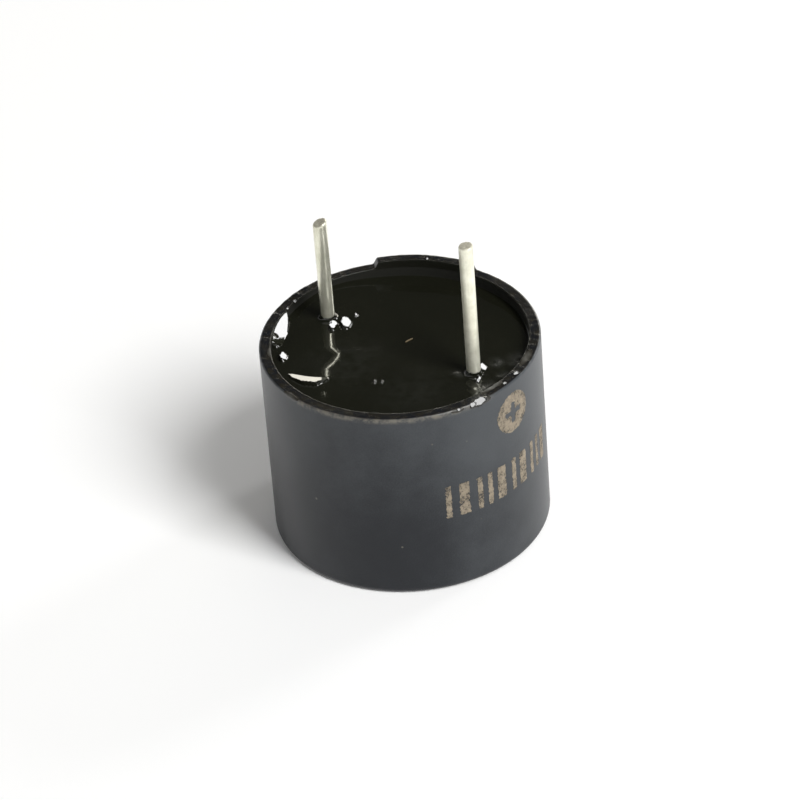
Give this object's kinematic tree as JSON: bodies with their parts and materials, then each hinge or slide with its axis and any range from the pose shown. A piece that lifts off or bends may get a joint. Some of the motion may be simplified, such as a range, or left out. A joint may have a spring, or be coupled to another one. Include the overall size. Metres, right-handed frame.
{
  "type": "magnetic buzzer",
  "caption": "Round potted magnetic buzzer: a plastic cup with a sound hole in its closed face, a magnet, coil and driver board inside, and a pair of tinned pins standing out of its epoxy.",
  "frame": {"origin": "on the case axis, at the sound face on which the part stands", "axes": "+Z along the case axis towards the pin tips; +X towards the longer, positive pin"},
  "size_m": [0.012, 0.012, 0.015],
  "materials": {
    "case_plastic": "fine matte moulding, dark blue-grey",
    "spring_steel": "rolled spring steel",
    "soft_iron": "turned soft iron",
    "frame_plastic": "black moulding",
    "ferrite": "bonded ferrite, dull dark grey",
    "plated_steel": "stamped plated steel",
    "bobbin_nylon": "natural nylon",
    "enamelled_copper": "enamelled copper wire",
    "board_laminate": "bare laminate",
    "bare_copper": "copper foil",
    "moulded_black": "black moulding compound",
    "tinned_metal": "dull tin plate over drawn wire",
    "solder": "reflowed solder",
    "black_epoxy": "poured glossy black resin"
  },
  "bodies": {
    "root": {"case": "case_plastic", "diaphragm": "spring_steel", "diaphragm_weight": "soft_iron", "diaphragm_frame": "frame_plastic", "ring_magnet": "ferrite", "pole_core": "soft_iron", "yoke_plate": "plated_steel", "coil_bobbin": "bobbin_nylon", "coil_winding": "enamelled_copper", "coil_leads": "enamelled_copper", "circuit_board": "board_laminate", "board_copper": "bare_copper", "transistor_body": "moulded_black", "transistor_leads": "tinned_metal", "resistor_body": "moulded_black", "resistor_terminals": "tinned_metal", "wire_solder": "solder", "pin_solder": "solder", "positive_pin": "tinned_metal", "negative_pin": "tinned_metal", "epoxy_potting": "black_epoxy"}
  },
  "joints": []
}
